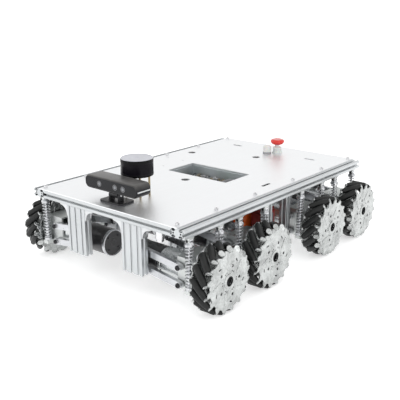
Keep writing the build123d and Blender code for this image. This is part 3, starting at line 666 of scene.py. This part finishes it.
def stop_button(cap_high=14, ribs=24):
    """The red mushroom cap on its stem, which move together, and the ribbed neck that stays."""
    low, high = corners("estop_head")
    place = shift((low.x + high.x) / 2, (low.y + high.y) / 2, 0)
    r, under, stem = (high.x - low.x) / 2, high.z - cap_high, low.z
    mushroom = [(7, under), (r - 5.6, under), (r - 4.6, under + 0.5), (r - 0.7, under + 5.2),
                (r, under + 6.8), (r, under + 9.2), (r - 0.6, under + 10.6), (r - 2.2, under + 12.8),
                (r - 4, under + 13.7), (r - 6.5, under + 14), (r - 9, under + 14), (r - 10, under + 13.5),
                (0, under + 13.3)]
    head = Form()
    head.lathe([(0, stem), (6.6, stem), (7, stem + 0.4), (7, under)], place, 1, 40)
    head.lathe(mushroom, place, 0, 72)
    head.piece("stop_cap", "stop_button", ["estop_red", "pale_plastic"], ["estop_head"])
    low, high = corners("estop_base")
    base, neck_top = low.z, high.z
    collar = [(7.1, base + 3), (7.1, neck_top), (10.8, neck_top), (12, neck_top - 1), (12, neck_top - 6),
              (11.4, neck_top - 6.6), (11.4, base + 7.4), (12, base + 6.8), (12, base + 3.4),
              (12.4, base + 3), (14.4, base + 3), (15, base + 2.4), (15, base), (7.1, base)]
    neck = Form()
    neck.lathe(collar, place, 0, 60, around=True)
    for i in range(ribs):
        turn = Matrix.Rotation(2 * pi * i / ribs, 4, "Z")
        neck.slab((11.3, -0.6, base + 7.5), (11.95, 0.6, neck_top - 6.7), 0, 0.3, 0.1, place @ turn)
    neck.piece("stop_neck", "chassis", ["pale_plastic"], ["estop_base"])


def signal_light():
    """The round lamp beside the stop button: a grey foot under a ringed pale dome."""
    low, high = corners("beacon")
    place = shift((low.x + high.x) / 2, (low.y + high.y) / 2, 0)
    r, base, top = (high.x - low.x) / 2, low.z, high.z
    foot = [(0, base), (r - 0.4, base), (r, base + 0.4), (r, base + 4.6), (r - 0.5, base + 5), (0, base + 5)]
    dome = [(0, base + 5), (r - 0.7, base + 5)]
    for i in range(4):
        level = base + 6 + i * 3
        dome += [(r - 0.3, level), (r - 0.3, level + 1.6), (r - 0.8, level + 2.1), (r - 0.8, level + 2.6)]
    dome += [(r - 0.6, top - 5), (r - 1.2, top - 2.4), (r - 3.4, top - 0.6), (r - 6, top), (0, top)]
    form = Form()
    form.lathe(foot, place, 1, 48)
    form.lathe(dome, place, 0, 48)
    form.piece("signal_lamp", "chassis", ["pale_plastic", "grey_plastic"], ["beacon"])


# Inside the frame ----------------------------------------------------------------

def tray_floor():
    """The height on which the board and the computer stand: the top of the tray's 2 mm sheet."""
    return corners("electronics_tray")[0].z + 2


def main_board():
    """The main board with its parts, sockets and looped wires."""
    alloy, terminal, brass, black, grey = 1, 2, 3, 4, 5  # places in the piece's finishes
    chip_sizes = ((2, 3.2, 1), (3.2, 2, 1.2), (5, 5, 1.4), (8, 8, 1.6), (4, 9, 2.2))
    chance = random.Random(11)
    floor = tray_floor()
    board, top = Form(), floor + 5.6
    board.slab((-42, -84, floor + 4), (42, 30, top), 0, 2.0, 0.2)
    for x in (-36, 36):
        for y in (-78, 24):
            board.lathe([(0, floor), (3, floor), (3, floor + 4), (0, floor + 4)], shift(x, y, 0), brass, 6)
            board.screw(shift(x, y, top), 2.6, 1.8, brass)
    board.slab((-30, -70, top), (10, -30, top + 3), alloy, 0.6, 0.2)
    for i in range(10):  # the heat sink's fins
        board.slab((-30, -70 + i * 4.2, top + 2.8), (10, -68.6 + i * 4.2, top + 12), alloy, 0.5, 0.2)
    for i in range(6):  # screw terminals
        y = -78 + i * 18
        board.slab((24, y, top), (36, y + 12, top + 9), terminal, 0.5, 0.4)
        for half in (3, 9):
            board.screw(shift(30, y + half, top + 9), 2.2, 0.9, brass)
    for i in range(46):  # chips, kept left of the terminals and inside the board's edge
        x, y = chance.uniform(-38, 20), chance.uniform(-26, 26)
        wide, long, tall = chance.choice(chip_sizes)
        board.slab((x, y, top), (min(x + wide, 23), min(y + long, 29), top + tall),
                   chance.choice((black, black, brass, grey)), 0.3, 0.15)
    for i in range(5):  # capacitors
        board.lathe([(0, top), (3.6, top), (4, top + 0.5), (4, top + 8.6), (3.5, top + 9.2), (0, top + 9)],
                    shift(-36, -66 + i * 9, 0), alloy, 24)
    for i in range(17):  # wires, each bowed sideways and upwards
        start, lean, rise = -86 + i * 6.2, chance.uniform(10, 26), chance.uniform(10, 16.5)
        path = [(-24 - 16 * sin(pi * t / 12) - i % 3, start + lean * t / 12,
                 top + 0.6 + rise * sin(pi * t / 12)) for t in range(13)]
        board.wire(path, 0.9, chance.choice((alloy, brass, black, grey)), 8)
    for i in range(7):  # sockets along the edge
        board.slab((-41, -80 + i * 14.5, top), (-33, -71 + i * 14.5, top + 9 + i % 3 * 3),
                   (alloy, brass, grey)[i % 3], 0.6, 0.3)
    board.piece("main_board", "chassis",
                ["board_green", "shock_alloy", "terminal_green", "brass", "black_plastic", "grey_plastic"],
                ["control_electronics"], "electronics")


def computer_case():
    """The computer in its case, with vents in the lid and a row of ports."""
    floor = tray_floor()
    lid = floor + 26
    case = Form()
    case.slab((-40, 38, floor), (40, 88, lid), 0, 3.0, 0.8)
    for i in range(13):
        case.slab((-30 + i * 4.8, 46, floor + 25.8), (-28 + i * 4.8, 80, lid), 1, 0.9, 0.05)
    for x, wide, tall in ((-34, 14, 13), (-16, 14, 15), (2, 15, 7), (20, 12, 6)):
        case.slab((x, 37.8, floor + 5), (x + wide, 38.4, floor + 5 + tall), 2, 0.2, 0.05)
        case.slab((x + 1.2, 37.6, floor + 6.2), (x + wide - 1.2, 38.0, floor + 3.8 + tall), 1, 0.1, 0.02)
    case.piece("computer_case", "chassis", ["electronics", "black_plastic", "shock_alloy"],
               ["control_electronics"])


def power_module():
    """The red power module by the battery: fins on top, a terminal strip and a label plate on its side."""
    low, high = corners("control_electronics")
    base, side = low.z, high.y
    form = Form()
    form.slab((-28, side - 36, base), (28, side - 2, base + 52), 0, 2.5, 1.0)
    for i in range(11):
        x = i * 4.9
        form.slab((-26 + x, side - 34, base + 51.8), (-23.8 + x, side - 4, base + 60), 0, 0.6, 0.3)
    form.slab((-26, side - 2.6, base + 4), (26, side - 0.2, base + 16), 1, 1.0, 0.4)
    for i in range(5):
        form.screw(shift(-20 + i * 10, side - 0.6, base + 10) @ ALONG_Y, 2.8, 0.5, 2)
    form.slab((-20, side - 2.4, base + 22), (20, side - 1.6, base + 46), 3, 1.2, 0.2)
    form.piece("power_module", "chassis", ["module_red", "black_plastic", "brass", "electronics"],
               ["control_electronics"], "electronics")


def battery(cells=14, per_cell=10, fold=5, fold_in=4.2):
    """Shrink-wrapped cells: soft bulges where the cells press, and a folded seam at each end."""
    low, high = corners("battery_pack")
    size, centre = high - low, (low + high) / 2
    rings = []
    for i in range(cells * per_cell + 1):
        share = i / (cells * per_cell)
        bulge = 0.55 * abs(sin(pi * share * cells)) ** 0.5
        end = min(share, 1 - share) * size.y
        pull = 0.6 - bulge + (fold_in * (1 - end / fold) ** 2 if end < fold else 0)
        rings.append(rounded(size.x - 2 * pull, size.z - 2 * pull, 6.0, (share - 0.5) * size.y, 6))
    form = Form()
    form.loft(rings, Matrix.Translation(centre) @ ALONG_Y, 0)
    form.piece("battery_cells", "chassis", ["battery_wrap"], ["battery_pack"], sharp=50)


def dress_cad(screws_below=210):
    """The CAD nodes that stay in view take the finish of their slot; the deck's screws are lower than
    `screws_below` and the scanner's brass standoffs, in the same node, rise above it."""
    for shape in frame["nodes"].values():
        for place in shape.material_slots:
            place.material = FINISH[place.material.name.split(".")[0]]
    copied("deck_screws", "deck_fasteners", "chassis", "steel_bolt", lambda low, high: high.z < screws_below)
    copied("scanner_standoffs", "deck_fasteners", "chassis", "brass", lambda low, high: high.z > screws_below,
           "steel_bolt")


# Studio --------------------------------------------------------------------------

FLOOR_HALF, FLOOR_GAP, FLOOR_GLOW = 9, 0.0002, 0.52  # metres, metres below the model, emission strength
SKY_STRENGTH = 1.26
SKY_FLOOR, SKY_TOP = (0.0, 1.0), (0.95, 0.5)  # height on the sky ramp, grey level
SKY_BETWEEN = ((0.05, 0.96), (0.12, 0.85), (0.24, 0.9), (0.42, 0.95), (0.62, 0.62))
LAMPS = (("key", (1.2, 2.8, 2.8), 2.2, 20),  # name, place, size and power
         ("fill", (2.8, -2.0, 2.0), 2.4, 8),
         ("top", (-0.6, 0.0, 3.2), 3.0, 12))
LAMP_AIM = (0, 0, 0.1)
FOCAL_LENGTH, SENSOR_WIDTH, CAMERA_ROLL = 59.36, 36.0, -0.23  # millimetres, millimetres, degrees
CAMERA_SPOT, CAMERA_AIM = (1.2831, 1.0499, 0.6395), (0.0, -0.0284, 0.1137)


def neutral(level):
    return (level, level, level, 1)


def studio_floor():
    """A plain white floor just under the wheels."""
    floor, far = bpy.data.meshes.new("floor"), FLOOR_HALF
    floor.from_pydata([(-far, -far, 0), (far, -far, 0), (far, far, 0), (-far, far, 0)], [], [(0, 1, 2, 3)])
    ground = bpy.data.objects.new("floor", floor)
    ground.location.z = min(CAD_BOX[0][2], 0.0) - FLOOR_GAP
    bpy.context.scene.collection.objects.link(ground)
    paint = bpy.data.materials.new("floor_paint")
    paint.use_nodes = True
    coat = paint.node_tree.nodes["Principled BSDF"]
    coat.inputs["Base Color"].default_value = neutral(0.93)
    coat.inputs["Roughness"].default_value = 0.8
    coat.inputs["Emission Color"].default_value = neutral(1)
    coat.inputs["Emission Strength"].default_value = FLOOR_GLOW
    floor.materials.append(paint)


def studio_light():
    """A soft grey sky, lighter towards the floor, and three round lamps."""
    world = bpy.data.worlds.new("studio")
    bpy.context.scene.world = world
    world.use_nodes = True
    nodes, links = world.node_tree.nodes, world.node_tree.links
    where = nodes.new("ShaderNodeTexCoord")
    split = nodes.new("ShaderNodeSeparateXYZ")
    ramp = nodes.new("ShaderNodeValToRGB")
    links.new(where.outputs["Generated"], split.inputs[0])
    links.new(split.outputs["Z"], ramp.inputs["Fac"])
    stops = ramp.color_ramp.elements
    for stop, (position, level) in zip((stops[0], stops[1]), (SKY_FLOOR, SKY_TOP)):
        stop.position, stop.color = position, neutral(level)
    for position, level in SKY_BETWEEN:
        stops.new(position).color = neutral(level)
    links.new(ramp.outputs[0], nodes["Background"].inputs["Color"])
    nodes["Background"].inputs["Strength"].default_value = SKY_STRENGTH
    for name, spot, size, power in LAMPS:
        lamp = bpy.data.lights.new(name, "AREA")
        lamp.shape, lamp.size, lamp.energy = "DISK", size, power
        holder = bpy.data.objects.new(name, lamp)
        holder.location = spot
        holder.rotation_euler = (Vector(LAMP_AIM) - Vector(spot)).to_track_quat("-Z", "Y").to_euler()
        bpy.context.scene.collection.objects.link(holder)
    bpy.context.scene.view_settings.view_transform = "Standard"


def camera():
    """From the front left corner, a little above the deck."""
    lens = bpy.data.cameras.new("view")
    lens.lens, lens.sensor_width = FOCAL_LENGTH, SENSOR_WIDTH
    holder = bpy.data.objects.new("view", lens)
    spot, aim = Vector(CAMERA_SPOT), Vector(CAMERA_AIM)
    facing = (aim - spot).to_track_quat("-Z", "Y").to_matrix().to_4x4()
    holder.matrix_world = Matrix.Translation(spot) @ (facing @ Matrix.Rotation(radians(CAMERA_ROLL), 4, "Z"))
    bpy.context.scene.collection.objects.link(holder)
    bpy.context.scene.camera = holder


dress_cad()
for station in STATIONS:
    rollers(station)
    rim_webs(station)
    hub_screw(station)
    motor(station)
    gearbox(station)
    copied(f"carrier_{station}", f"drive_unit_{station}", f"drive_{station}", "carrier", is_carrier)
    link_bolts(station)
    damper_tubes(station)
    springs(station)
shock_tops()
depth_camera()
scanner()
stop_button()
signal_light()
main_board()
computer_case()
power_module()
battery()
studio_floor()
studio_light()
camera()
